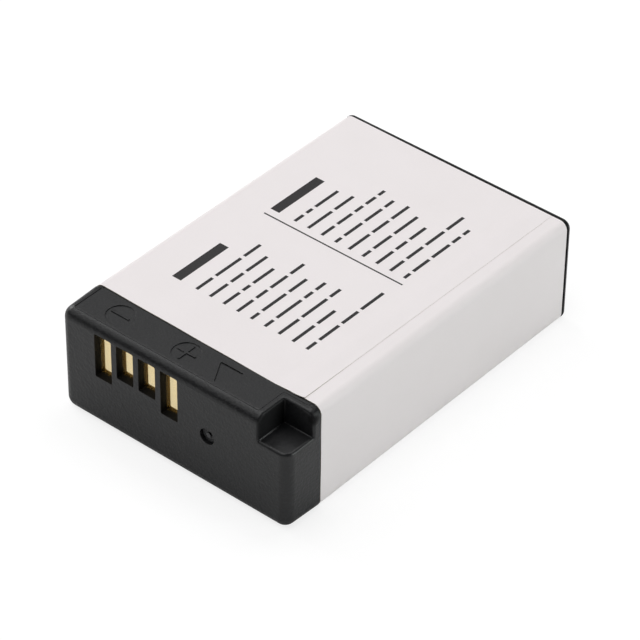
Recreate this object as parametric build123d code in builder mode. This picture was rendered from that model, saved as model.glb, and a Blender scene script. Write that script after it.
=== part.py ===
from build123d import *
import os

# Flat two-cell camera battery, in millimetres. X runs across its width, Y along its length with the
# terminal end at -Y, and Z up from the broad face it lies on. The origin is at the centre of that face.

# Case: outer form and walls
case_width = 33.0
case_length = 49.4
case_thickness = 14.0
edge_radius = 1.1
front_edge_radius = 1.3
front_corner_swell = 0.25
rear_edge_radius = 0.55
side_wall = 1.65
front_wall = 1.3
rear_wall = 1.65
floor_thickness = 0.95
cavity_corner_radius = 0.4

# Cover plate, let into the tub's rim on a ledge
cover_thickness = 0.95
cover_ledge = 0.4
cover_front_ledge = 0.35
cover_notch_ledge = 0.3
cover_corner_radius = 0.3
cover_gap = 0.05
cover_side_gap = 0.1

# Wrap label and the shallow bed it lies in
bare_end_length = 5.4
bare_rear_length = 0.8
bed_depth = 0.15
label_thickness = 0.12
label_edge_gap = 0.15
label_seam_from_side = 2.43
label_overlap = 1.9
label_ramp = 2.0
label_ramp_radius = 4.0
label_tail_gap = 0.1
label_layer_gap = 0.01

# Keying notch in the front right top corner
notch_width = 4.1
notch_length = 4.3
notch_depth = 3.3
notch_wall = 1.0
notch_inner_radius = 0.15
notch_rim_radius = 0.35

# Contact slots in the terminal wall, and the plates behind them
slot_width = 2.48
slot_pitch = 3.24
slot_row_from_side = 11.24
slot_below_cover = 0.25
outer_slot_height = 5.93
inner_slot_height = 4.53
slot_corner_radius = 0.18
contact_lap = 0.1
contact_thickness = 0.75
contact_corner_radius = 0.25
contact_pocket_depth = 0.35
contact_pocket_gap = 0.04

# Round gate recess in the terminal wall, with the gate's pip on its floor
gate_x = 5.1
gate_height = 7.3
gate_diameter = 2.05
gate_floor = 0.8
pip_diameter = 0.6
pip_height = 0.25

# Circuit board, and the ribs that hold it against the terminal wall
board_thickness = 0.8
board_side_gap = 0.35
board_floor_gap = 0.25
board_cover_gap = 0.15
board_notch_gap = 0.2
board_corner_radius = 0.3
rib_depth = 0.9
rib_thickness = 0.7
rib_gap = 0.05
rib_root = 0.2

# Parts soldered to the back of the board
chip_chamfer = 0.12
lead_reach = 0.5
lead_width = 0.3
lead_height = 0.25
protection_chip_size = (1.6, 2.9, 1.1)
protection_chip_place = (2.0, 7.2)
protection_chip_lead_count = 3
protection_chip_pitch = 0.95
switch_chip_size = (4.4, 3.0, 1.0)
switch_chip_place = (-2.6, 6.6)
switch_chip_lead_count = 4
switch_chip_pitch = 0.65
identity_chip_size = (3.9, 3.0, 1.0)
identity_chip_place = (2.9, 2.8)
identity_chip_lead_count = 4
identity_chip_pitch = 0.65
cap_length = 0.4
cap_step = 0.06
sense_resistor_size = (3.2, 1.6, 0.6)
sense_resistor_place = (-2.4, 2.2)
board_fuse_size = (3.2, 1.6, 0.7)
board_fuse_x = -7.6
board_fuse_tongue_gap = 0.31
thermistor_size = (1.6, 0.8, 0.8)
thermistor_rib_gap = 1.55
thermistor_height = 4.4
resistor_size = (1.0, 0.5, 0.35)
resistor_strap_gap = 0.25
resistor_height = 7.9
resistor_pitch = 0.9
resistor_count = 3
resistor_column_count = 2
resistor_column_pitch = 1.7
capacitor_size = (1.6, 0.8, 0.8)
capacitor_rib_gap = 1.55
capacitor_height = 3.4
capacitor_pitch = 1.4
capacitor_count = 3

# Cells, one on the other, with their tapes, head insulator and rear pad
cell_side_gap = 0.25
cell_top_gap = 0.15
cell_edge_radius = 1.2
cell_end_chamfer = 0.3
cell_tape_thickness = 0.12
base_tape_thickness = 0.1
tape_margin = 2.0
pad_thickness = 1.0
pad_margin = 2.0
insulator_thickness = 0.2
insulator_margin = 1.0
insulator_corner_radius = 0.5
terminal_x = 8.0
terminal_width = 4.0
terminal_height = 2.4
terminal_corner_radius = 0.3
terminal_window_gap = 0.15
head_gap = 0.05

# Nickel straps
strap_width = 3.0
strap_tongue_width = 2.0
strap_thickness = 0.15
strap_bend = 0.4
strap_weld = 2.0
strap_foot = 1.2
strap_foot_margin = 0.3

# Outer faces of the case and the inside of its walls
right_x = case_width / 2
left_x = -right_x
rear_y = case_length / 2
front_y = -rear_y
mid_z = case_thickness / 2
front_corner_radius = front_edge_radius + front_corner_swell
cavity_right = right_x - side_wall
cavity_left = -cavity_right
cavity_front = front_y + front_wall
cavity_rear = rear_y - rear_wall
cavity_length = cavity_rear - cavity_front
cover_underside = case_thickness - cover_thickness
bed_front = front_y + bare_end_length
bed_length = rear_y - bare_rear_length - bed_front
notch_left = right_x - notch_width
notch_back = front_y + notch_length
notch_floor = case_thickness - notch_depth
notch_underside = notch_floor - notch_wall

# Contacts and board, one behind the other
contact_face = cavity_front - contact_pocket_depth
contact_width = slot_width + 2 * contact_lap
board_front = contact_face + contact_thickness
board_rear = board_front + board_thickness
board_bottom = floor_thickness + board_floor_gap
board_top = cover_underside - board_cover_gap
slot_top = cover_underside - slot_below_cover
slot_row_x = left_x + slot_row_from_side
contact_names = ["negative_contact", "thermistor_contact", "data_contact", "positive_contact"]
slot_heights = [outer_slot_height, inner_slot_height, inner_slot_height, outer_slot_height]
first_slot_x = slot_row_x - slot_pitch * (len(contact_names) - 1) / 2
slot_xs = [first_slot_x + index * slot_pitch for index in range(len(contact_names))]
contact_row = list(zip(contact_names, slot_xs, slot_heights))

# Cells stand clear of the notch's back wall and fill the cavity behind it
weld_face = notch_back + notch_wall + head_gap + strap_thickness
cell_head = weld_face + insulator_thickness
cell_rear = cavity_rear - pad_thickness
cell_length = cell_rear - cell_head
cell_width = cavity_right - cavity_left - 2 * cell_side_gap
lower_cell_base = floor_thickness + base_tape_thickness
cell_stack_top = cover_underside - cell_top_gap
cell_thickness = (cell_stack_top - lower_cell_base - cell_tape_thickness) / 2
cell_tape_base = lower_cell_base + cell_thickness
upper_cell_base = cell_tape_base + cell_tape_thickness
lower_cell_mid = lower_cell_base + cell_thickness / 2
upper_cell_mid = upper_cell_base + cell_thickness / 2

os.makedirs("parts", exist_ok=True)


def near_skin(edge):
    """True for an edge that lies on the case's outer faces beside the notch, not inside the notch."""
    middle = edge.center()
    depth = min(right_x - middle.X, middle.Y - front_y, case_thickness - middle.Z)
    return depth < edge_radius / 2


# Outline of the pocket in the tub's rim that takes the cover: a rectangle that steps round the notch
with BuildSketch() as rim_outline:
    with Locations((0, (cavity_front + cavity_rear + cover_ledge - cover_front_ledge) / 2)):
        Rectangle(
            cavity_right - cavity_left + 2 * cover_ledge,
            cavity_length + cover_ledge + cover_front_ledge,
        )
    step_x = notch_left - notch_wall + cover_notch_ledge
    step_y = notch_back + notch_wall - cover_notch_ledge
    with Locations((step_x, step_y)):
        Rectangle(case_width, case_length, align=(Align.MIN, Align.MAX), mode=Mode.SUBTRACT)
    fillet(rim_outline.vertices(), cover_corner_radius)

# Outline of the hollow inside the walls, seen from above
with BuildSketch() as cavity_outline:
    with Locations((0, (cavity_front + cavity_rear) / 2)):
        RectangleRounded(cavity_right - cavity_left, cavity_length, cavity_corner_radius)

# The space of the notch, with its inner edges rounded
with BuildPart() as notch_space:
    with BuildSketch(Plane.XY.offset(notch_floor)):
        with Locations((notch_left, notch_back)):
            Rectangle(2 * notch_width, 2 * notch_length, align=(Align.MIN, Align.MAX))
    extrude(amount=2 * notch_depth)
    inner_corner = (notch_left, notch_back, notch_floor)
    fillet(notch_space.edges().sort_by_distance(inner_corner)[:3], notch_inner_radius)

# Outer form of the case: a straight bar whose long edges grow rounder along the bare terminal end
with BuildPart() as case_form:
    with BuildSketch(Plane.XZ.offset(-bed_front)):
        with Locations((0, mid_z)):
            RectangleRounded(case_width, case_thickness, edge_radius)
    extrude(amount=bed_front - rear_y)
    with BuildSketch(Plane.XZ.offset(-bed_front)):
        with Locations((0, mid_z)):
            RectangleRounded(case_width, case_thickness, edge_radius)
    with BuildSketch(Plane.XZ.offset(-front_y)):
        with Locations((0, mid_z)):
            RectangleRounded(case_width, case_thickness, front_corner_radius)
    loft(ruled=True)
    fillet(case_form.faces().sort_by(Axis.Y)[0].edges(), front_edge_radius)
    fillet(case_form.faces().sort_by(Axis.Y)[-1].edges(), rear_edge_radius)

# Moulded tub: floor, walls, terminal end with its slots, notch and gate recess, and the label's bed
with BuildPart() as case_tub:
    add(case_form.part)
    add(notch_space.part, mode=Mode.SUBTRACT)
    fillet(case_tub.edges(Select.LAST).filter_by(near_skin), notch_rim_radius)
    with BuildSketch(Plane.XZ.offset(-bed_front)):
        with Locations((0, mid_z)):
            Rectangle(2 * case_width, 2 * case_thickness)
            RectangleRounded(
                case_width - 2 * bed_depth,
                case_thickness - 2 * bed_depth,
                edge_radius - bed_depth,
                mode=Mode.SUBTRACT,
            )
    extrude(amount=-bed_length, mode=Mode.SUBTRACT)
    with BuildSketch(Plane.XY.offset(floor_thickness)):
        add(cavity_outline.sketch)
    extrude(amount=notch_underside - floor_thickness, mode=Mode.SUBTRACT)
    with BuildSketch(Plane.XY.offset(notch_underside)):
        add(cavity_outline.sketch)
        with Locations((notch_left - notch_wall, notch_back + notch_wall)):
            Rectangle(case_width, case_length, align=(Align.MIN, Align.MAX), mode=Mode.SUBTRACT)
    extrude(amount=cover_underside - notch_underside, mode=Mode.SUBTRACT)
    with BuildSketch(Plane.XY.offset(cover_underside)):
        add(rim_outline.sketch)
    extrude(amount=cover_thickness, mode=Mode.SUBTRACT)
    for contact_name, slot_x, slot_height in contact_row:
        with BuildSketch(Plane.XZ.offset(-front_y)):
            with Locations((slot_x, slot_top - slot_height / 2)):
                RectangleRounded(slot_width, slot_height, slot_corner_radius)
        extrude(amount=-front_wall, mode=Mode.SUBTRACT)
        with BuildSketch(Plane.XZ.offset(-contact_face)):
            with Locations((slot_x, slot_top - slot_height / 2)):
                RectangleRounded(
                    contact_width + 2 * contact_pocket_gap,
                    slot_height + 2 * (contact_lap + contact_pocket_gap),
                    contact_corner_radius + contact_pocket_gap,
                )
        extrude(amount=-contact_pocket_depth, mode=Mode.SUBTRACT)
    with BuildSketch(Plane.XZ.offset(-front_y)):
        with Locations((gate_x, gate_height)):
            Circle(gate_diameter / 2)
    extrude(amount=gate_floor - front_wall, mode=Mode.SUBTRACT)
    with BuildSketch(Plane.XZ.offset(gate_floor - cavity_front)):
        with Locations((gate_x, gate_height)):
            Circle(pip_diameter / 2)
    extrude(amount=pip_height)
    with BuildSketch(Plane.XY.offset(floor_thickness - rib_root)):
        with Locations((cavity_left - rib_root, board_rear + rib_gap)):
            Rectangle(rib_root + rib_depth, rib_thickness, align=Align.MIN)
    extrude(amount=rib_root + board_top - floor_thickness)
    with BuildSketch(Plane.XY.offset(floor_thickness - rib_root)):
        with Locations((cavity_right + rib_root, board_rear + rib_gap)):
            Rectangle(rib_root + rib_depth, rib_thickness, align=(Align.MAX, Align.MIN))
    extrude(amount=rib_root + notch_underside + rib_root - floor_thickness)
case_tub.part.label = "case_tub"
export_step(case_tub.part, "parts/case_tub.step")

# Cover plate: follows the outer form of the bare terminal end, and is lowered behind it for the label
cover_width = cavity_right - cavity_left + 2 * (cover_ledge - cover_side_gap)
with BuildPart() as case_cover:
    with BuildSketch(Plane.XY.offset(cover_underside)):
        add(rim_outline.sketch)
        offset(amount=-cover_gap)
        Rectangle(cover_width, 2 * case_length, mode=Mode.INTERSECT)
    extrude(amount=cover_thickness)
    add(case_form.part, mode=Mode.INTERSECT)
    with BuildSketch(Plane.XY.offset(case_thickness - bed_depth)):
        with Locations((0, bed_front)):
            Rectangle(case_width, case_length, align=(Align.CENTER, Align.MIN))
    extrude(amount=bed_depth, mode=Mode.SUBTRACT)
case_cover.part.label = "case_cover"
export_step(case_cover.part, "parts/case_cover.step")

# Wrap label: one turn of film whose end rides up over its own beginning near the right edge of the top
label_side = right_x - bed_depth + label_thickness / 2
label_base = bed_depth - label_thickness / 2
label_top = case_thickness - label_base
label_bend = edge_radius - bed_depth + label_thickness / 2
upper_layer = label_top + label_thickness + label_layer_gap
seam_x = right_x - label_seam_from_side
tail_x = seam_x - label_overlap
with BuildPart() as wrap_label:
    with BuildSketch(Plane.XZ.offset(-bed_front - label_edge_gap)):
        with BuildLine():
            FilletPolyline(
                (tail_x, label_top),
                (label_side, label_top),
                (label_side, label_base),
                (-label_side, label_base),
                (-label_side, label_top),
                (tail_x - label_tail_gap - label_ramp, label_top),
                (tail_x - label_tail_gap, upper_layer),
                (seam_x, upper_layer),
                radius=[label_bend] * 4 + [label_ramp_radius] * 2,
            )
        trace(line_width=label_thickness)
    extrude(amount=2 * label_edge_gap - bed_length)
wrap_label.part.label = "wrap_label"
export_step(wrap_label.part, "parts/wrap_label.step")

# Contact plates, soldered to the board and seated in the terminal wall's pockets
for contact_name, slot_x, slot_height in contact_row:
    with BuildPart() as contact:
        with BuildSketch(Plane.XZ.offset(-contact_face)):
            with Locations((slot_x, slot_top - slot_height / 2)):
                RectangleRounded(contact_width, slot_height + 2 * contact_lap, contact_corner_radius)
        extrude(amount=-contact_thickness)
    contact.part.label = contact_name
    export_step(contact.part, f"parts/{contact_name}.step")

# Circuit board, with its corner cut away for the notch
with BuildPart() as circuit_board:
    with BuildSketch(Plane.XZ.offset(-board_front)) as board_outline:
        with Locations((0, board_bottom)):
            Rectangle(
                cavity_right - cavity_left - 2 * board_side_gap,
                board_top - board_bottom,
                align=(Align.CENTER, Align.MIN),
            )
        with Locations((notch_left - notch_wall - board_notch_gap, notch_underside - board_notch_gap)):
            Rectangle(case_width, case_thickness, align=Align.MIN, mode=Mode.SUBTRACT)
        fillet(board_outline.vertices(), board_corner_radius)
    extrude(amount=-board_thickness)
circuit_board.part.label = "circuit_board"
export_step(circuit_board.part, "parts/circuit_board.step")

# Back of the board, with the origin of the soldered parts' places at the middle of its lower edge
board_back = Plane(origin=(0, board_rear, board_bottom), x_dir=(-1, 0, 0), z_dir=(0, 1, 0))

# Places that keep clear of the ribs at the board's ends, of the straps and of the middle strap's tongue
tongue_height = cell_tape_base
rib_reach = cavity_right - rib_depth
strap_inner_edge = terminal_x - strap_width / 2
thermistor_x = thermistor_rib_gap + thermistor_size[0] / 2 - rib_reach
thermistor_place = (thermistor_x, thermistor_height)
tongue_top = tongue_height + strap_thickness / 2
board_fuse_height = tongue_top + board_fuse_tongue_gap + board_fuse_size[1] / 2 - board_bottom
board_fuse_place = (board_fuse_x, board_fuse_height)
resistor_half_row = (resistor_column_pitch * (resistor_column_count - 1) + resistor_size[0]) / 2
resistor_middle = (strap_inner_edge - resistor_strap_gap - resistor_half_row, resistor_height)
capacitor_middle = (rib_reach - capacitor_rib_gap - capacitor_size[0] / 2, capacitor_height)

# Chips: a moulded body with a row of leads down each side
chips = {
    "protection_chip": (protection_chip_size, protection_chip_place),
    "switch_chip": (switch_chip_size, switch_chip_place),
    "identity_chip": (identity_chip_size, identity_chip_place),
}
chip_leads = {
    "protection_chip": (protection_chip_lead_count, protection_chip_pitch),
    "switch_chip": (switch_chip_lead_count, switch_chip_pitch),
    "identity_chip": (identity_chip_lead_count, identity_chip_pitch),
}
for chip_name, ((chip_width, chip_height, chip_depth), chip_place) in chips.items():
    lead_count, lead_pitch = chip_leads[chip_name]
    with BuildPart() as chip:
        with BuildSketch(board_back):
            with Locations(chip_place):
                Rectangle(chip_width, chip_height)
        extrude(amount=chip_depth)
        chamfer(chip.faces().sort_by(Axis.Y)[-1].edges(), chip_chamfer)
        with BuildSketch(board_back):
            with Locations(chip_place):
                with GridLocations(0, lead_pitch, 1, lead_count):
                    Rectangle(chip_width + 2 * lead_reach, lead_width)
        extrude(amount=lead_height)
    chip.part.label = chip_name
    export_step(chip.part, f"parts/{chip_name}.step")

# Single parts with a metal cap at each end
capped_parts = [
    ("sense_resistor", sense_resistor_size, sense_resistor_place),
    ("board_fuse", board_fuse_size, board_fuse_place),
    ("thermistor", thermistor_size, thermistor_place),
]
for capped_name, (capped_width, capped_height, capped_depth), capped_place in capped_parts:
    with BuildPart() as capped_part:
        with BuildSketch(board_back):
            with Locations(capped_place):
                Rectangle(capped_width, capped_height - 2 * cap_step)
        extrude(amount=capped_depth - cap_step)
        with BuildSketch(board_back):
            with Locations(capped_place):
                with GridLocations(capped_width - cap_length, 0, 2, 1):
                    Rectangle(cap_length, capped_height)
        extrude(amount=capped_depth)
    capped_part.part.label = capped_name
    export_step(capped_part.part, f"parts/{capped_name}.step")

# Small passive parts, one node for each kind: first the resistors, then the capacitors
with BuildPart() as chip_resistors:
    with BuildSketch(board_back):
        with Locations(resistor_middle):
            with GridLocations(
                resistor_column_pitch, resistor_pitch, resistor_column_count, resistor_count
            ):
                Rectangle(resistor_size[0], resistor_size[1])
    extrude(amount=resistor_size[2])
chip_resistors.part.label = "chip_resistors"
export_step(chip_resistors.part, "parts/chip_resistors.step")

with BuildPart() as chip_capacitors:
    with BuildSketch(board_back):
        with Locations(capacitor_middle):
            with GridLocations(0, capacitor_pitch, 1, capacitor_count):
                Rectangle(capacitor_size[0], capacitor_size[1])
    extrude(amount=capacitor_size[2])
chip_capacitors.part.label = "chip_capacitors"
export_step(chip_capacitors.part, "parts/chip_capacitors.step")

# Cells: flat sealed cans with two terminal pads on the head
for cell_name, cell_base in (("lower_cell", lower_cell_base), ("upper_cell", upper_cell_base)):
    with BuildPart() as cell:
        with BuildSketch(Plane.XZ.offset(-cell_head)):
            with Locations((0, cell_base + cell_thickness / 2)):
                RectangleRounded(cell_width, cell_thickness, cell_edge_radius)
        extrude(amount=-cell_length)
        chamfer(cell.faces().sort_by(Axis.Y)[0].edges(), cell_end_chamfer)
        chamfer(cell.faces().sort_by(Axis.Y)[-1].edges(), cell_end_chamfer)
        with BuildSketch(Plane.XZ.offset(-cell_head)):
            with Locations((0, cell_base + cell_thickness / 2)):
                with GridLocations(2 * terminal_x, 0, 2, 1):
                    RectangleRounded(terminal_width, terminal_height, terminal_corner_radius)
        extrude(amount=insulator_thickness)
    cell.part.label = cell_name
    export_step(cell.part, f"parts/{cell_name}.step")

# Double-sided tapes under and between the cells
tapes = [
    ("base_tape", floor_thickness, base_tape_thickness),
    ("cell_tape", cell_tape_base, cell_tape_thickness),
]
for tape_name, tape_base, tape_thickness in tapes:
    with BuildPart() as tape:
        with BuildSketch(Plane.XY.offset(tape_base)):
            with Locations((0, (cell_head + cell_rear) / 2)):
                Rectangle(cell_width - 2 * tape_margin, cell_length - 2 * tape_margin)
        extrude(amount=tape_thickness)
    tape.part.label = tape_name
    export_step(tape.part, f"parts/{tape_name}.step")

# Foam pad between the cells and the rear wall
with BuildPart() as rear_pad:
    with BuildSketch(Plane.XZ.offset(-cell_rear)):
        with Locations((0, (lower_cell_base + cell_stack_top) / 2)):
            Rectangle(cell_width - 2 * pad_margin, cell_stack_top - lower_cell_base - 2 * pad_margin)
    extrude(amount=-pad_thickness)
rear_pad.part.label = "rear_pad"
export_step(rear_pad.part, "parts/rear_pad.step")

# Fibre sheet on the cell heads, with a window round each terminal
with BuildPart() as head_insulator:
    with BuildSketch(Plane.XZ.offset(-cell_head)):
        with Locations((0, (lower_cell_base + cell_stack_top) / 2)):
            RectangleRounded(
                cell_width - 2 * insulator_margin,
                cell_stack_top - lower_cell_base - 2 * insulator_margin,
                insulator_corner_radius,
            )
        for window_mid in (lower_cell_mid, upper_cell_mid):
            with Locations((0, window_mid)):
                with GridLocations(2 * terminal_x, 0, 2, 1):
                    RectangleRounded(
                        terminal_width + 2 * terminal_window_gap,
                        terminal_height + 2 * terminal_window_gap,
                        terminal_corner_radius + terminal_window_gap,
                        mode=Mode.SUBTRACT,
                    )
    extrude(amount=insulator_thickness)
head_insulator.part.label = "head_insulator"
export_step(head_insulator.part, "parts/head_insulator.step")

# End straps: welded flat on a terminal, bent towards the board and footed on it
weld_y = weld_face - strap_thickness / 2
foot_y = board_rear + strap_thickness / 2
lower_foot_end = board_bottom + strap_foot_margin
upper_foot_end = board_top - strap_foot_margin
end_straps = [
    ("negative_strap", lower_cell_mid + strap_weld / 2, lower_foot_end + strap_foot, lower_foot_end),
    ("positive_strap", upper_cell_mid - strap_weld / 2, upper_foot_end - strap_foot, upper_foot_end),
]
for strap_name, weld_end, run_height, foot_end in end_straps:
    with BuildPart() as end_strap:
        with BuildSketch(Plane.YZ.offset(-terminal_x)):
            with BuildLine():
                FilletPolyline(
                    (weld_y, weld_end),
                    (weld_y, run_height),
                    (foot_y, run_height),
                    (foot_y, foot_end),
                    radius=strap_bend,
                )
            trace(line_width=strap_thickness)
        extrude(amount=strap_width / 2, both=True)
    end_strap.part.label = strap_name
    export_step(end_strap.part, f"parts/{strap_name}.step")

# Middle strap: joins the two cells in series, with a bent tongue that takes their midpoint to the board
with BuildPart() as middle_strap:
    with BuildSketch(Plane.XZ.offset(-weld_face)):
        with Locations((terminal_x, lower_cell_mid - strap_weld / 2)):
            Rectangle(
                strap_width,
                upper_cell_mid - lower_cell_mid + strap_weld,
                align=(Align.CENTER, Align.MIN),
            )
    extrude(amount=strap_thickness)
    with BuildSketch(Plane.YZ.offset(terminal_x)):
        with BuildLine():
            FilletPolyline(
                (weld_y, tongue_height),
                (foot_y, tongue_height),
                (foot_y, tongue_height - strap_foot),
                radius=strap_bend,
            )
        trace(line_width=strap_thickness)
    extrude(amount=strap_tongue_width / 2, both=True)
middle_strap.part.label = "middle_strap"
export_step(middle_strap.part, "parts/middle_strap.step")
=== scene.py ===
import math

import bmesh
import bpy
from mathutils import Matrix, Vector


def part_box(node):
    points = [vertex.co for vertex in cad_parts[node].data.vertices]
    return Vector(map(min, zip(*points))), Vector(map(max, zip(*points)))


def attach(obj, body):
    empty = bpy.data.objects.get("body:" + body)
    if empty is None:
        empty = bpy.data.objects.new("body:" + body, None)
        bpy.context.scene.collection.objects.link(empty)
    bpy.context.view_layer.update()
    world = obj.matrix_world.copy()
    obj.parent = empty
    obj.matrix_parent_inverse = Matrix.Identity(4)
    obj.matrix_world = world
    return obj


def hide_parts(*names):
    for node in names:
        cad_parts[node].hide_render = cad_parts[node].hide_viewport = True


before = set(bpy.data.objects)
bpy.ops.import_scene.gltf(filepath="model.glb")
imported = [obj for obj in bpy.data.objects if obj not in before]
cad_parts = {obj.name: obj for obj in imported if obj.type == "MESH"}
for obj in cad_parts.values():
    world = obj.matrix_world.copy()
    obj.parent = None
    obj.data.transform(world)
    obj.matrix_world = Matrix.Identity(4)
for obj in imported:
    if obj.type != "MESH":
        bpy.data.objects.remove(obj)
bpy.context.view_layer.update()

# Cells: two flat cans of drawn aluminium, stacked, each closed by a welded lid at the terminal end.
# Drawing leaves faint streaks along the can, so the satin metal is streaked lengthwise.
mm = 0.001


def tone(red, green, blue):
    """A colour as a screen shows it, 0 to 255, in the linear values that a shader takes."""
    shares = [value / 255 for value in (red, green, blue)]
    return [s / 12.92 if s <= 0.04045 else ((s + 0.055) / 1.055) ** 2.4 for s in shares] + [1.0]


class Flow:
    """A socket in a material. Sums of flows and numbers add Math nodes, and node() adds any other."""

    def __init__(self, socket):
        self.socket = socket

    def node(self, kind, settings, sockets, output=0):
        """One node beside this flow: its settings are set first, then its sockets' values or links."""
        tree = self.socket.id_data
        made = tree.nodes.new(kind)
        for name, value in settings.items():
            setattr(made, name, value)
        for name, value in sockets.items():
            if isinstance(value, Flow):
                tree.links.new(value.socket, made.inputs[name])
            else:
                made.inputs[name].default_value = value
        return Flow(made.outputs[output])

    def sum(self, operation, first, second):
        return self.node("ShaderNodeMath", {"operation": operation}, {0: first, 1: second})

    def __add__(self, other):
        return self.sum("ADD", self, other)

    def __radd__(self, other):
        return self.sum("ADD", other, self)

    def __sub__(self, other):
        return self.sum("SUBTRACT", self, other)

    def __rsub__(self, other):
        return self.sum("SUBTRACT", other, self)

    def __mul__(self, other):
        return self.sum("MULTIPLY", self, other)

    def __rmul__(self, other):
        return self.sum("MULTIPLY", other, self)

    def __truediv__(self, other):
        return self.sum("DIVIDE", self, other)

    def __rtruediv__(self, other):
        return self.sum("DIVIDE", other, self)

    def __floor__(self):
        return self.sum("FLOOR", self, 0.0)

    def __gt__(self, other):
        return self.sum("GREATER_THAN", self, other)

    def __lt__(self, other):
        return self.sum("LESS_THAN", self, other)

    def __abs__(self):
        return self.sum("ABSOLUTE", self, 0.0)

    def mix(self, first, second):
        """The first colour where this flow is 0, the second where it is 1."""
        return self.node("ShaderNodeMix", {"data_type": "RGBA"}, {0: self, 6: first, 7: second}, output=2)

    def grain(self, size, detail=2.0, stretch=(1, 1, 1)):
        """Soft noise with spots of about this size, drawn out along the axes where stretch is above 1."""
        scale = [1 / (size * share) for share in stretch]
        spot = self.node("ShaderNodeMapping", {}, {"Vector": self, "Scale": scale})
        return self.node("ShaderNodeTexNoise", {}, {"Vector": spot, "Scale": 1.0, "Detail": detail})

    def relief(self, height, strength):
        """A normal that follows this flow as a relief of that height."""
        return self.node("ShaderNodeBump", {}, {"Height": self, "Distance": height, "Strength": strength})

    def ramp(self, start, end):
        """From 0 where this flow is at the start to 1 where it is at the end."""
        return self.node("ShaderNodeMapRange", {}, {"Value": self, "From Min": start, "From Max": end})

    def axis(self, name):
        return self.node("ShaderNodeSeparateXYZ", {}, {"Vector": self}, output=name)

    def into(self, shader, name):
        self.socket.id_data.links.new(self.socket, shader.inputs[name])


def finish(name, constants):
    """A new material with its unvarying values set, its shader, and the piece's own coordinates."""
    material = bpy.data.materials.new(name)
    material.use_nodes = True
    nodes = material.node_tree.nodes
    shader = nodes["Principled BSDF"]
    for socket, value in constants.items():
        shader.inputs[socket].default_value = value
    return material, shader, Flow(nodes.new("ShaderNodeTexCoord").outputs["Object"])


def dress(node, material):
    """Puts a finish on a piece that is shown as it was packed."""
    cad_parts[node].material_slots[0].material = material


can, shader, place = finish("drawn_can", {"Metallic": 1.0})
streaks = place.grain(0.12 * mm, stretch=(1, 60, 1))
streaks.mix(tone(196, 198, 202), tone(222, 223, 226)).into(shader, "Base Color")
(0.26 + streaks * 0.2).into(shader, "Roughness")
for node in ("lower_cell", "upper_cell"):
    dress(node, can)

# Tapes, pad and head sheet: double-sided tape holds the cells to each other and to the case, a foam
# pad takes up the room behind them, and a sheet of pressed fibre covers their heads.
soft_finishes = {
    "adhesive_tape": (tone(226, 222, 208), tone(214, 208, 190), 0.35 * mm, 0.55),
    "closed_cell_foam": (tone(52, 52, 54), tone(30, 30, 32), 0.22 * mm, 0.9),
    "pressed_fibre": (tone(196, 188, 160), tone(176, 166, 136), 0.4 * mm, 0.8),
}
soft_pieces = {
    "adhesive_tape": ("cell_tape", "base_tape"),
    "closed_cell_foam": ("rear_pad",),
    "pressed_fibre": ("head_insulator",),
}
for name, (light, dark, size, roughness) in soft_finishes.items():
    material, shader, place = finish(name, {"Roughness": roughness})
    fibres = place.grain(size, detail=4.0)
    fibres.mix(dark, light).into(shader, "Base Color")
    fibres.relief(0.02 * mm, 0.4).into(shader, "Normal")
    for node in soft_pieces[name]:
        dress(node, material)

# Straps: strips of rolled nickel, bent to shape, spot-welded to the cells and soldered to the board.
# Rolling leaves fine lines along the strip.
nickel, shader, place = finish("rolled_nickel", {"Metallic": 1.0})
lines = place.grain(0.05 * mm, stretch=(1, 12, 12))
lines.mix(tone(186, 182, 172), tone(214, 210, 202)).into(shader, "Base Color")
(0.24 + lines * 0.18).into(shader, "Roughness")
for node in ("negative_strap", "middle_strap", "positive_strap"):
    dress(node, nickel)

# Circuit board: green solder mask on glass laminate, standing behind the terminal wall. Copper
# traces under the mask show as slightly lighter tracks.
laminate, shader, place = finish("solder_mask", {"Roughness": 0.35, "Coat Weight": 0.3})
tracks = place.node(
    "ShaderNodeTexBrick",
    {"offset": 0.3},
    {"Vector": place, "Scale": 1 / (2.2 * mm), "Mortar Size": 0.12, "Color1": tone(14, 84, 46),
     "Color2": tone(18, 92, 52), "Mortar": tone(40, 122, 74)},
)
tracks.into(shader, "Base Color")
place.grain(0.3 * mm).relief(0.004 * mm, 0.3).into(shader, "Normal")
dress("circuit_board", laminate)

# Board parts: moulded chips with a row of tinned leads down each side, and fired ceramic parts with
# a tinned cap at each end. All are soldered to the back of the board.
tin = tone(198, 200, 202)
board_parts = {
    "protection_chip": (0.5 * mm, tone(34, 34, 36), tone(26, 26, 28)),
    "switch_chip": (0.5 * mm, tone(34, 34, 36), tone(26, 26, 28)),
    "identity_chip": (0.5 * mm, tone(34, 34, 36), tone(26, 26, 28)),
    "sense_resistor": (0.4 * mm, tone(46, 44, 42), tone(34, 33, 32)),
    "board_fuse": (0.4 * mm, tone(214, 208, 188), tone(196, 188, 166)),
    "thermistor": (0.4 * mm, tone(92, 78, 62), tone(76, 64, 52)),
    "chip_resistors": (0.2 * mm, tone(44, 44, 46), tone(30, 30, 32)),
    "chip_capacitors": (0.3 * mm, tone(168, 138, 104), tone(148, 120, 90)),
}
for node, (tinned_reach, light, dark) in board_parts.items():
    low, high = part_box(node)
    middle = (low.x + high.x) / 2
    body_half = (high.x - low.x) / 2 - tinned_reach
    material, shader, place = finish(node + "_finish", {"Roughness": 0.5})
    tinned = abs(place.axis("X") - middle) > body_half
    tinned.into(shader, "Metallic")
    tinned.mix(place.grain(0.15 * mm).mix(dark, light), tin).into(shader, "Base Color")
    dress(node, material)

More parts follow.
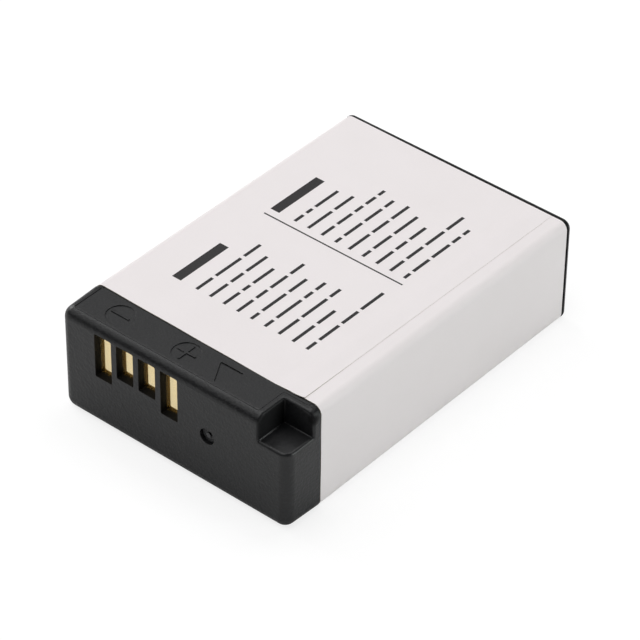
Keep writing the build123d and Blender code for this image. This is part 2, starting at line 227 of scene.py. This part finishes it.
# Contacts: four gold-plated copper plates, soldered to the board and seen down their slots, where they
# lean a little. The plating is bright, with hair-fine wipe lines where spring blades have slid over it.
lean_right = 0.06
lean_up = 0.075
bright_share = 0.72
plates = ("negative_contact", "thermistor_contact", "data_contact", "positive_contact")
gold, shader, place = finish("gold_plate", {"Metallic": 1.0, "Roughness": 0.5})
wipes = place.grain(0.03 * mm, stretch=(1, 1, 30))
spots = place.grain(0.8 * mm)
leaning = (place.axis("X") * -lean_right + place.axis("Z") * -lean_up).relief(height=1.0, strength=1.0)
leaning.into(shader, "Normal")
spots.mix(tone(236, 178, 66), tone(244, 190, 80)).into(shader, "Base Color")
plating = spots.mix(tone(252, 238, 192), tone(255, 244, 204))
bright = place.node(
    "ShaderNodeBsdfPrincipled",
    {},
    {"Base Color": plating, "Metallic": 1.0, "Roughness": 0.04 + wipes * 0.05, "Normal": leaning},
)
both = place.node("ShaderNodeMixShader", {}, {0: bright_share, 1: Flow(shader.outputs[0]), 2: bright})
both.into(gold.node_tree.nodes["Material Output"], "Surface")
for node in plates:
    dress(node, gold)

# Case tub: one black moulding with a fine spark-eroded grain, calmer in the notch, with painted shade
# (a darker, duller plastic) on the slot walls, the notch's left wall and round its far corner.
# Its edges are rounded in the mould and the rims of its recesses just broken. The round gate recess, where
# the moulding was torn off its runner, is painted paler: painted light on its floor.
case_low, case_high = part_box("case_tub")
case_middle = (case_low + case_high) / 2
case_half = (case_high - case_low) / 2
long_edge_radius = 1.1 * mm
broken_edge = 0.018 * mm
rim_depth = 0.08 * mm
same_point = 0.001 * mm
flat_turn = math.radians(0.5)
sharp_turn = math.radians(30)
shading_turn = math.radians(42)
notch_x, notch_y, notch_z = 12.4 * mm, -20.45 * mm, 10.8 * mm
notch_rim = 0.3 * mm
notch_calm = 0.75
wall_slack = 0.05 * mm
# Where painted shade darkens the notch's far corner, and how far it fades out.
painted_shade_corner = Vector((16.2, -20.2, 13.0)) * mm
painted_shade_fade = (0.9 * mm, 0.4 * mm)
grain_height = 0.06 * mm
gate_centre = Vector((5.1, 7.3)) * mm
gate_radius = 1.025 * mm
faces_front = -0.5
bed_depth = 0.148 * mm
bed_end = 24.1 * mm
bed_added = 0.2 * mm
corner_steps = 12


def cast(node):
    """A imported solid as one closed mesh: its loose triangles joined, and its flat faces made whole."""
    form = bmesh.new()
    form.from_mesh(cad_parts[node].data)
    bmesh.ops.remove_doubles(form, verts=form.verts, dist=same_point)
    bmesh.ops.dissolve_limit(form, angle_limit=flat_turn, verts=form.verts, edges=form.edges)
    return form


def depth_in_case(point):
    """How deep a point lies under the case's rounded outer skin."""
    reach = [abs(p - m) - h + long_edge_radius for p, m, h in zip(point, case_middle, case_half)]
    outside = Vector([max(r, 0.0) for r in reach]).length
    return long_edge_radius - outside - min(max(reach), 0.0)


def break_edges(form, width, deepest, wanted=lambda point: True):
    """Rounds the sharp convex edges that lie at the case's skin, as a mould's own edges are rounded."""
    edges = [
        edge for edge in form.edges
        if len(edge.link_faces) == 2 and edge.is_convex and edge.calc_face_angle() > sharp_turn
        and all(depth_in_case(corner.co) < deepest and wanted(corner.co) for corner in edge.verts)
    ]
    bmesh.ops.bevel(
        form, geom=edges, offset=width, offset_type="OFFSET", segments=2, profile=0.5,
        affect="EDGES", clamp_overlap=True,
    )


def settle(piece):
    """Turns a piece's modifiers into plain mesh."""
    shaped = piece.evaluated_get(bpy.context.evaluated_depsgraph_get())
    mesh = bpy.data.meshes.new_from_object(shaped)
    piece.modifiers.clear()
    piece.data = mesh


def prism(outline, low, high, lengthwise=False):
    """A closed block on a flat outline, which stands up or lies along the battery."""
    block = bmesh.new()
    face = block.faces.new([block.verts.new((p.x, p.y, low)) for p in outline])
    lifted = bmesh.ops.extrude_face_region(block, geom=[face])["geom"]
    rise = Vector((0, 0, high - low))
    bmesh.ops.translate(block, vec=rise, verts=[v for v in lifted if isinstance(v, bmesh.types.BMVert)])
    if lengthwise:
        for corner in block.verts:
            corner.co = corner.co.xzy
    bmesh.ops.recalc_face_normals(block, faces=block.faces)
    return block


def rounded(middle, half, radius):
    """The outline of a rectangle with round corners."""
    outline = []
    for x, y, start in ((1, 1, 0), (-1, 1, 90), (-1, -1, 180), (1, -1, 270)):
        centre = middle + Vector(((half.x - radius) * x, (half.y - radius) * y))
        for step in range(corner_steps + 1):
            turn = math.radians(start + 90 * step / corner_steps)
            outline.append(centre + radius * Vector((math.cos(turn), math.sin(turn))))
    return outline


def loose(name, form):
    """A form as an object of its own, fixed to nothing yet."""
    mesh = bpy.data.meshes.new(name)
    form.to_mesh(mesh)
    form.free()
    tool = bpy.data.objects.new(name, mesh)
    bpy.context.scene.collection.objects.link(tool)
    return tool


def carve(piece, tools):
    """Cuts tools out of a piece, one after the other, and clears them away."""
    for tool in tools:
        cut = piece.modifiers.new("cut", "BOOLEAN")
        cut.operation = "DIFFERENCE"
        cut.solver = "EXACT"
        cut.object = tool
        settle(piece)
        bpy.data.objects.remove(tool)


def make_piece(name, form, materials):
    """A smooth-shaded object whose flat faces stay flat beside their rounded edges."""
    mesh = bpy.data.meshes.new(name)
    form.to_mesh(mesh)
    form.free()
    for material in materials:
        mesh.materials.append(material)
    mesh.shade_smooth()
    mesh.set_sharp_from_angle(angle=shading_turn)
    piece = bpy.data.objects.new(name, mesh)
    bpy.context.scene.collection.objects.link(piece)
    even = piece.modifiers.new("even", "WEIGHTED_NORMAL")
    even.keep_sharp = True
    settle(piece)
    return piece


def fit(piece, node):
    """Fixes a piece to the battery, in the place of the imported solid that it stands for."""
    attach(piece, "root")
    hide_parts(node)


plastic, shader, place = finish("grained_plastic", {"Specular IOR Level": 0.4})
grain = place.grain(0.36 * mm, detail=3.0)
cloud = place.grain(2.5 * mm)
(grain * 0.7 + cloud * 0.3).mix(tone(14, 15, 16), tone(26, 26, 28)).into(shader, "Base Color")
(0.28 + grain * 0.2).into(shader, "Roughness")
x, y, z = (place.axis(name) for name in "XYZ")
inward = x.ramp(notch_x - notch_rim, notch_x)
forward = y.ramp(notch_y + notch_rim, notch_y)
upward = z.ramp(notch_z - 2 * notch_rim, notch_z - notch_rim)
calmed = grain * (1.0 - inward * forward * upward * notch_calm)
relief = calmed.relief(grain_height, 0.8)
relief.into(shader, "Normal")
# Painted shade: a darker, duller plastic on the notch's left wall and round its far corner takes the
# highlights off them.
painted_shade_on_wall = inward * (x < notch_x + wall_slack) * (y < notch_y) * (z > notch_z)
from_corner = place.node(
    "ShaderNodeVectorMath", {"operation": "DISTANCE"}, {0: place, 1: painted_shade_corner}, output="Value"
)
painted_shade_at_corner = from_corner.ramp(*painted_shade_fade)
painted_shade_colour = grain.mix(tone(12, 12, 13), tone(20, 20, 21))
notch_painted_shade = place.node(
    "ShaderNodeBsdfPrincipled",
    {},
    {"Base Color": painted_shade_colour, "Roughness": 0.7, "Specular IOR Level": 0.15, "Normal": relief},
)
both = place.node(
    "ShaderNodeMixShader", {}, {0: painted_shade_on_wall + painted_shade_at_corner, 1: Flow(shader.outputs[0]), 2: notch_painted_shade}
)
both.into(plastic.node_tree.nodes["Material Output"], "Surface")
# Painted shade: the walls of the contact slots get a darker, duller plastic than the rest of the tub.
slot_wall_painted_shade, shader, place = finish("slot_wall_painted_shade", {"Specular IOR Level": 0.2, "Roughness": 0.6})
place.grain(0.2 * mm, detail=3.0).mix(tone(10, 10, 10), tone(18, 18, 18)).into(shader, "Base Color")
# Painted light: the floor of the gate recess gets a paler plastic than the tub, to light it.
gate_painted_light, shader, place = finish("gate_floor_painted_light", {"Roughness": 0.6})
place.grain(0.25 * mm, detail=3.0).mix(tone(52, 52, 54), tone(76, 76, 78)).into(shader, "Base Color")

section_middle, section_half = case_middle.xz, case_half.xz
sunk = Vector((bed_depth, bed_depth))
bed_start = bed_end - bed_added
band_outline = rounded(section_middle, section_half + sunk, broken_edge)
bed_tool = loose("bed", prism(band_outline, bed_start, bed_end, lengthwise=True))
body_outline = rounded(section_middle, section_half - sunk, long_edge_radius - bed_depth)
carve(bed_tool, [loose("body", prism(body_outline, bed_start - mm, bed_end + mm, lengthwise=True))])
tub = loose("moulded_tub", cast("case_tub"))
carve(tub, [bed_tool])
tub_form = bmesh.new()
tub_form.from_mesh(tub.data)
bpy.data.objects.remove(tub)
break_edges(tub_form, broken_edge, rim_depth)
tub = make_piece("moulded_tub", tub_form, [plastic, slot_wall_painted_shade, gate_painted_light])
plate_boxes = [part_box(plate) for plate in plates]
behind_rim = case_low.y + broken_edge
for face in tub.data.polygons:
    spot = face.center
    for low, high in plate_boxes:
        before_plate = low.x < spot.x < high.x and low.z < spot.z < high.z and spot.y < low.y
        if before_plate and spot.y > behind_rim:
            face.material_index = 1
    in_gate = (spot.xz - gate_centre).length < gate_radius
    if in_gate and spot.y > behind_rim and face.normal.y < faces_front:
        face.material_index = 2
fit(tub, "case_tub")

# Case cover: a flat plate of the same plastic, welded into the tub's rim. The poles are marked by bars
# left standing in two shallow round pockets, and the way in by a triangular pocket.
pole_depth = 0.11 * mm
arrow_depth = 0.15 * mm
mark_rim = 0.045 * mm
marks_low = Vector((-12.5, -23.3)) * mm
marks_high = Vector((7.0, -19.6)) * mm
pocket_radius = 1.67 * mm
bar_width = 0.26 * mm
bar_length = 2.62 * mm
minus_centre = Vector((-10.43, -21.43)) * mm
plus_centre = Vector((-0.66, -21.49)) * mm
arrow_corners = [Vector(corner) * mm for corner in ((3.25, -20.25), (6.5, -20.22), (4.88, -23.2))]
arrow_blunt = 0.05 * mm
pocket_steps = 72
cover_rim_depth = 0.02 * mm
seam_closed = 0.03 * mm
front_reach = 0.35 * mm


def bar(centre, length, width):
    """The outline of a sign's bar."""
    half = Vector((length, width)) / 2
    return [centre + Vector((half.x * x, half.y * y)) for x, y in ((-1, -1), (1, -1), (1, 1), (-1, 1))]


def on_rim(point):
    """Whether a point is on the rim of a mark's pocket, rather than on a bar or off the marks."""
    in_marks = all(low < value < high for low, value, high in zip(marks_low, point, marks_high))
    from_poles = min((point.xy - centre).length for centre in (minus_centre, plus_centre))
    return in_marks and from_poles > (pocket_radius + bar_length / 2) / 2


cover_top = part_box("case_cover")[1].z
pocket_floor = cover_top - pole_depth
above = cover_top + pole_depth
pole_tools = []
for centre, bars in (
    (minus_centre, [(bar_length, bar_width)]),
    (plus_centre, [(bar_length, bar_width), (bar_width, bar_length)]),
):
    turns = [2 * math.pi * step / pocket_steps for step in range(pocket_steps)]
    ring = [centre + pocket_radius * Vector((math.cos(t), math.sin(t))) for t in turns]
    pocket = loose("pocket", prism(ring, pocket_floor, above))
    clear_of = (pocket_floor - pole_depth, above + pole_depth)
    keep = [loose("bar", prism(bar(centre, *size), *clear_of)) for size in bars]
    carve(pocket, keep)
    pole_tools.append(pocket)
arrow_outline = []
for number, corner in enumerate(arrow_corners):
    for other in (arrow_corners[number - 1], arrow_corners[number - 2]):
        arrow_outline.append(corner + (other - corner).normalized() * arrow_blunt)
arrow_tool = loose("arrow", prism(arrow_outline, cover_top - arrow_depth, above))

cover = loose("moulded_cover", cast("case_cover"))
carve(cover, pole_tools + [arrow_tool])
cover_form = bmesh.new()
cover_form.from_mesh(cover.data)
bpy.data.objects.remove(cover)
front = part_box("case_cover")[0].y
for corner in cover_form.verts:
    if corner.co.y < front + front_reach:
        corner.co.y -= seam_closed
break_edges(cover_form, broken_edge, cover_rim_depth, lambda point: not on_rim(point))
break_edges(cover_form, mark_rim, cover_rim_depth, on_rim)
cover = make_piece("moulded_cover", cover_form, [plastic])
fit(cover, "case_cover")

# Wrap label: a white plastic film with adhesive behind it, wrapped once round the body by hand, so its
# front edge runs a little askew. Its end is lapped over its beginning near the right edge of the top.
film = 0.12 * mm
lap_gap = 0.01 * mm
film_bend = 1.01 * mm
tail_end = 12.17 * mm
ramp_start = 10.07 * mm
ramp_end = 12.07 * mm
ramp_bend = 4.0 * mm
lap_end = 14.0 * mm
lap_skew = 0.2 * mm
lap_skew_from = 9.0 * mm
lap_pressed = 0.1 * mm
lap_lift = 0.6
lap_lift_reach = 0.3
lap_corner_back = 0.25 * mm
lap_corner_reach = 1.6 * mm
front_edge = (-19.02 * mm, -19.15 * mm, -19.22 * mm, -19.1 * mm, -18.88 * mm, -19.26 * mm)
rear_edge = (23.94 * mm, 23.82 * mm, 23.9 * mm, 24.0 * mm, 24.07 * mm, 23.93 * mm)
rear_bow = 0.03 * mm
edge_wander = 0.015 * mm
edge_wander_length = 9.0 * mm
path_step = 0.7 * mm
lap_step = 0.08 * mm
bend_steps = 10
length_steps = 30
top_run, ramp_run = 4, 5

label_low, label_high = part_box("wrap_label")
side = label_high.x - film / 2
base = label_low.z + film / 2
lapped = label_high.z - film / 2
flat = lapped - film - lap_gap


def film_path(corners, bends):
    """Points and outward normals along a path of straight runs and round bends, with the run's number."""
    points = []
    start = corners[0]
    for number, corner in enumerate(corners[1:]):
        arc = []
        stop = corner
        if number < len(bends):
            onward = (corners[number + 2] - corner).normalized()
            along = (corner - start).normalized()
            turn = along.angle_signed(onward)
            reach = bends[number] * math.tan(abs(turn) / 2)
            stop = corner - along * reach
            centre = stop + Vector((-along.y, along.x)) * math.copysign(bends[number], -turn)
            for step in range(1, bend_steps):
                spoke = Matrix.Rotation(-turn * step / bend_steps, 2) @ (stop - centre)
                heading = Matrix.Rotation(-turn * step / bend_steps, 2) @ along
                arc.append((centre + spoke, Vector((-heading.y, heading.x)), number + step / bend_steps))
            following = corner + onward * reach
        run = stop - start
        normal = Vector((-run.y, run.x)).normalized()
        steps = max(1, round(run.length / (path_step if number < len(bends) else lap_step)))
        points += [(start + run * step / steps, normal, float(number)) for step in range(steps + 1)]
        points += arc
        start = following if number < len(bends) else corner
    return points


def along_wrap(edge, share):
    """An edge's place at a share of the way round, from its places at the corners."""
    first = min(int(share), len(edge) - 2)
    return edge[first] + (edge[first + 1] - edge[first]) * (share - first)


wrap = film_path(
    [Vector(corner) for corner in (
        (tail_end, flat), (side, flat), (side, base), (-side, base), (-side, flat),
        (ramp_start, flat), (ramp_end, lapped), (lap_end, lapped),
    )],
    [film_bend] * 4 + [ramp_bend] * 2,
)
film_form = bmesh.new()
rows = []
travelled = 0.0
for index, (point, normal, run) in enumerate(wrap):
    travelled += (point - wrap[index - 1][0]).length if index else 0.0
    share = run if run < top_run else top_run + (point.x + side) / (lap_end + side)
    wander = edge_wander * math.sin(2 * math.pi * travelled / edge_wander_length)
    front = along_wrap(front_edge, share) + wander
    rear = along_wrap(rear_edge, share)
    skew, pressed = 0.0, 0.0
    if run >= top_run:
        rear -= rear_bow * math.sin(math.pi * (share - top_run))
    if run >= ramp_run:
        skew = lap_skew * max(0.0, (point.x - lap_skew_from) / (lap_end - lap_skew_from))
        pressed = lap_pressed * max(0.0, (point.x - ramp_end) / (lap_end - ramp_end))
        front += lap_corner_back * max(0.0, 1 - (lap_end - point.x) / lap_corner_reach) ** 2
        rear -= point.y - flat - pressed
    for outside in (True, False):
        row = []
        for step in range(length_steps + 1):
            down = step / length_steps
            lifted = pressed * lap_lift * max(0.0, 1 - down / lap_lift_reach) ** 3
            place_at = point + normal * (film / 2 - pressed + lifted if outside else -film / 2)
            y = front + (rear - front) * down
            row.append(film_form.verts.new((place_at.x + skew * down, y, place_at.y)))
        rows.append(row)
outer, inner = rows[0::2], rows[1::2]
cut_faces = []
for index in range(len(wrap) - 1):
    face_row, next_face_row = outer[index], outer[index + 1]
    back_row, next_back_row = inner[index], inner[index + 1]
    for step in range(length_steps):
        film_form.faces.new(
            (face_row[step], next_face_row[step], next_face_row[step + 1], face_row[step + 1])
        )
        film_form.faces.new(
            (back_row[step + 1], next_back_row[step + 1], next_back_row[step], back_row[step])
        )
    cut_faces += [
        film_form.faces.new((back_row[0], next_back_row[0], next_face_row[0], face_row[0])),
        film_form.faces.new((face_row[-1], next_face_row[-1], next_back_row[-1], back_row[-1])),
    ]
for end, flip in ((0, False), (-1, True)):
    for step in range(length_steps):
        corners = (outer[end][step], outer[end][step + 1], inner[end][step + 1], inner[end][step])
        cut_faces.append(film_form.faces.new(corners[::-1] if flip else corners))
# The cut faces, the lap's end among them, take the darker edge colour, which is partly painted shade.
for face in cut_faces:
    face.material_index = 1
bmesh.ops.recalc_face_normals(film_form, faces=film_form.faces)

white, shader, place = finish("white_film", {"Specular IOR Level": 0.35})
fine = place.grain(0.2 * mm, detail=3.0)
broad = place.grain(6.0 * mm)
(fine * 0.4 + broad * 0.6).mix(tone(235, 229, 229), tone(242, 236, 237)).into(shader, "Base Color")
(0.45 + fine * 0.12).into(shader, "Roughness")
fine.relief(0.004 * mm, 0.3).into(shader, "Normal")
# The cut edges and the lapped end of the film are a darker beige: partly the film's own cut edge, partly
# painted shade that darkens the seam line of the lap.
cut, shader, place = finish("cut_film_edge_and_painted_shade", {"Roughness": 0.7})
place.grain(0.4 * mm).mix(tone(150, 142, 128), tone(182, 174, 162)).into(shader, "Base Color")
label = make_piece("wrapped_film", film_form, [white, cut])
fit(label, "wrap_label")

# Label print: a panel of small print in dark ink on the film, as such labels carry, with nothing to
# read in it: two columns of plain word-long strokes, each under a bar, and a ruled line between them.
ink_gap = 0.001 * mm
ink, shader, place = finish("dark_ink", {"Roughness": 0.5, "Specular IOR Level": 0.3})
place.grain(0.25 * mm).mix(tone(34, 32, 33), tone(52, 50, 51)).into(shader, "Base Color")
print_inputs = {
    "Rows": ("NodeSocketInt", 9),
    "Columns": ("NodeSocketInt", 2),
    "Words": ("NodeSocketInt", 6),
    "Row Pitch": ("NodeSocketFloat", 2.0 * mm),
    "First Row": ("NodeSocketFloat", -7.2 * mm),
    "Line Start": ("NodeSocketFloat", -12.6 * mm),
    "Line Length": ("NodeSocketFloat", 14.4 * mm),
    "Shortest Line Share": ("NodeSocketFloat", 0.7),
    "Column Pitch": ("NodeSocketFloat", 16.6 * mm),
    "Shortest Word": ("NodeSocketFloat", 1.0 * mm),
    "Longest Word": ("NodeSocketFloat", 4.2 * mm),
    "Word Gap": ("NodeSocketFloat", 0.55 * mm),
    "Stroke": ("NodeSocketFloat", 0.42 * mm),
    "Bar Row": ("NodeSocketFloat", -10.2 * mm),
    "Bar Stroke": ("NodeSocketFloat", 1.3 * mm),
    "Bar Length": ("NodeSocketFloat", 8.0 * mm),
    "Rule Stroke": ("NodeSocketFloat", 0.2 * mm),
    "Ink Depth": ("NodeSocketFloat", 0.008 * mm),
    "Seed": ("NodeSocketInt", 5),
    "Ink": ("NodeSocketMaterial", ink),
}
press = bpy.data.node_groups.new("small_print", "GeometryNodeTree")
identifiers = {}
for name, (kind, value) in print_inputs.items():
    identifiers[name] = press.interface.new_socket(name, in_out="INPUT", socket_type=kind).identifier
press.interface.new_socket("Print", in_out="OUTPUT", socket_type="NodeSocketGeometry")
entry = press.nodes.new("NodeGroupInput")
leave = press.nodes.new("NodeGroupOutput")
asked = {name: Flow(entry.outputs[name]) for name in print_inputs}
index = asked["Rows"].node("GeometryNodeInputIndex", {}, {})
film_face = flat + film / 2
ink_level = film_face + asked["Ink Depth"] / 2 + ink_gap
stroke = index.node("GeometryNodeMeshCube", {}, {})


def at(x, y, z):
    """A place or a size, from three flows or numbers."""
    return index.node("ShaderNodeCombineXYZ", {}, {0: x, 1: y, 2: z})


def chance(least, most, number, seed):
    """A number drawn between two limits, the same at each run."""
    return index.node(
        "FunctionNodeRandomValue", {"data_type": "FLOAT"}, {2: least, 3: most, 7: number, 8: seed}, output=1
    )


def strokes(count, place, size, wanted):
    """Plain strokes of ink, one at each place that is wanted."""
    points = index.node("GeometryNodePoints", {}, {"Count": count})
    points = index.node("GeometryNodeSetPosition", {}, {"Geometry": points, "Position": place})
    return index.node(
        "GeometryNodeInstanceOnPoints",
        {},
        {"Points": points, "Selection": wanted, "Instance": stroke, "Scale": size},
    )


line = math.floor(index / asked["Words"])
column = math.floor(line / asked["Rows"])
length = chance(asked["Shortest Word"], asked["Longest Word"], index, asked["Seed"])
line_share = chance(asked["Shortest Line Share"], 1.0, line, asked["Seed"] + 1.0)
start = index.node(
    "GeometryNodeAccumulateField",
    {"data_type": "FLOAT"},
    {"Value": length + asked["Word Gap"], "Group ID": line},
    output="Trailing",
)
words = strokes(
    asked["Rows"] * asked["Columns"] * asked["Words"],
    at(
        asked["First Row"] + (line - column * asked["Rows"]) * asked["Row Pitch"],
        asked["Line Start"] + column * asked["Column Pitch"] + start + length / 2,
        ink_level,
    ),
    at(asked["Stroke"], length, asked["Ink Depth"]),
    start + length < asked["Line Length"] * line_share,
)
bars = strokes(
    asked["Columns"],
    at(
        asked["Bar Row"],
        asked["Line Start"] + index * asked["Column Pitch"] + asked["Bar Length"] / 2,
        ink_level,
    ),
    at(asked["Bar Stroke"], asked["Bar Length"], asked["Ink Depth"]),
    True,
)
last_row = asked["First Row"] + asked["Row Pitch"] * (asked["Rows"] - 1.0)
gutter = asked["Column Pitch"] - asked["Line Length"]
rules = strokes(
    asked["Columns"] - 1.0,
    at(
        (asked["Bar Row"] + last_row) / 2,
        asked["Line Start"] + (index + 1.0) * asked["Column Pitch"] - gutter / 2,
        ink_level,
    ),
    at(last_row - asked["Bar Row"] + asked["Bar Stroke"], asked["Rule Stroke"], asked["Ink Depth"]),
    True,
)
sheet = press.nodes.new("GeometryNodeJoinGeometry")
for marks in (words, bars, rules):
    marks.into(sheet, "Geometry")
whole = index.node("GeometryNodeRealizeInstances", {}, {"Geometry": Flow(sheet.outputs[0])})
inked = index.node("GeometryNodeSetMaterial", {}, {"Geometry": whole, "Material": asked["Ink"]})
inked.into(leave, "Print")

small_print = loose("small_print", bmesh.new())
printing = small_print.modifiers.new("printing", "NODES")
printing.node_group = press
for name, (kind, value) in print_inputs.items():
    printing[identifiers[name]] = value
settle(small_print)
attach(small_print, "root")

# Studio: a pale floor under the battery, and soft boxes round it, most of them high, with none on the
# camera's own side. The floor and the horizon show white, and the floor keeps a shadow.
floor_size = 8.0
floor_shade = tone(238, 238, 238)
floor_shown = tone(137, 137, 137)
floor_glow = 0.8
mirror_glow = 0.02
horizon_rise = 0.14
mirror_rise = 0.0
floor_form = bmesh.new()
bmesh.ops.create_grid(floor_form, x_segments=1, y_segments=1, size=floor_size / 2)
floor = loose("floor", floor_form)


def seen_rays(tree):
    """One for the rays of the eye itself, and one for those by way of a mirror or a lens."""
    path = tree.nodes.new("ShaderNodeLightPath")
    rays = [Flow(path.outputs[f"Is {kind} Ray"]) for kind in ("Camera", "Glossy", "Transmission")]
    return rays[0], rays[1] + rays[2]


pale = bpy.data.materials.new("pale_floor")
pale.use_nodes = True
pale.node_tree.nodes.clear()
output = pale.node_tree.nodes.new("ShaderNodeOutputMaterial")
direct, mirrored = seen_rays(pale.node_tree)
ground = direct.node("ShaderNodeBsdfDiffuse", {}, {"Color": direct.mix(floor_shade, floor_shown)})
glow = direct.node("ShaderNodeEmission", {}, {"Color": direct * floor_glow + mirrored * mirror_glow})
direct.node("ShaderNodeAddShader", {}, {0: ground, 1: glow}).into(output, "Surface")
floor.data.materials.append(pale)

world = bpy.data.worlds.new("studio")
world.use_nodes = True
sky = world.node_tree.nodes["Background"]
direct, mirrored = seen_rays(world.node_tree)
rise = Flow(world.node_tree.nodes.new("ShaderNodeTexCoord").outputs["Generated"]).axis("Z")
(direct * (rise < horizon_rise) + mirrored * (rise < mirror_rise)).into(sky, "Color")
bpy.context.scene.world = world

lamp_distance = 1.0
lamp_width = 0.5
right_tint = (0.965, 1.015, 0.995)
lamps = {
    "left": (174, 25, 3.75),
    "left_high": (180, 65, 2.2),
    "back_left": (135, 40, 0.79),
    "back_high": (90, 65, 2.6),
    "right_low": (20, 12, 4.7),
    "front_left": (225, 40, 0.87),
    "front_high": (270, 65, 2.5),
}
for name, (azimuth, elevation, watts) in lamps.items():
    turn, rise = math.radians(azimuth), math.radians(elevation)
    lamp = bpy.data.lights.new(name, "AREA")
    lamp.size = lamp_width
    lamp.energy = watts
    away = Vector((math.cos(turn) * math.cos(rise), math.sin(turn) * math.cos(rise), math.sin(rise)))
    holder = bpy.data.objects.new(name, lamp)
    holder.location = case_middle + away * lamp_distance
    holder.rotation_euler = away.to_track_quat("Z", "Y").to_euler()
    bpy.context.scene.collection.objects.link(holder)
bpy.data.lights["right_low"].color = right_tint

# Camera: a long lens looking down on the corner between the terminal end and the right side.
view_azimuth = math.radians(39.978)
view_elevation = math.radians(38.533)
view_roll = math.radians(0.673)
view_distance = 379.683 * mm
view_target = Vector((0, 0, 7.0)) * mm
slide_right = 0.028 * mm
slide_up = -0.922 * mm
level = math.cos(view_elevation)
back = Vector((math.sin(view_azimuth) * level, -math.cos(view_azimuth) * level, math.sin(view_elevation)))
right = Vector((math.cos(view_azimuth), math.sin(view_azimuth), 0))
up = back.cross(right)
rolled_right = right * math.cos(view_roll) + up * math.sin(view_roll)
rolled_up = up * math.cos(view_roll) - right * math.sin(view_roll)
lens = bpy.data.cameras.new("lens")
lens.sensor_width = 36.0
lens.lens = 189.48
lens.clip_start = 0.01
camera = bpy.data.objects.new("camera", lens)
turned = Matrix((rolled_right, rolled_up, back)).transposed().to_4x4()
camera.matrix_world = Matrix.Translation(
    view_target + back * view_distance + rolled_right * slide_right + rolled_up * slide_up
) @ turned
bpy.context.scene.collection.objects.link(camera)
bpy.context.scene.camera = camera
bpy.context.scene.view_settings.view_transform = "Standard"
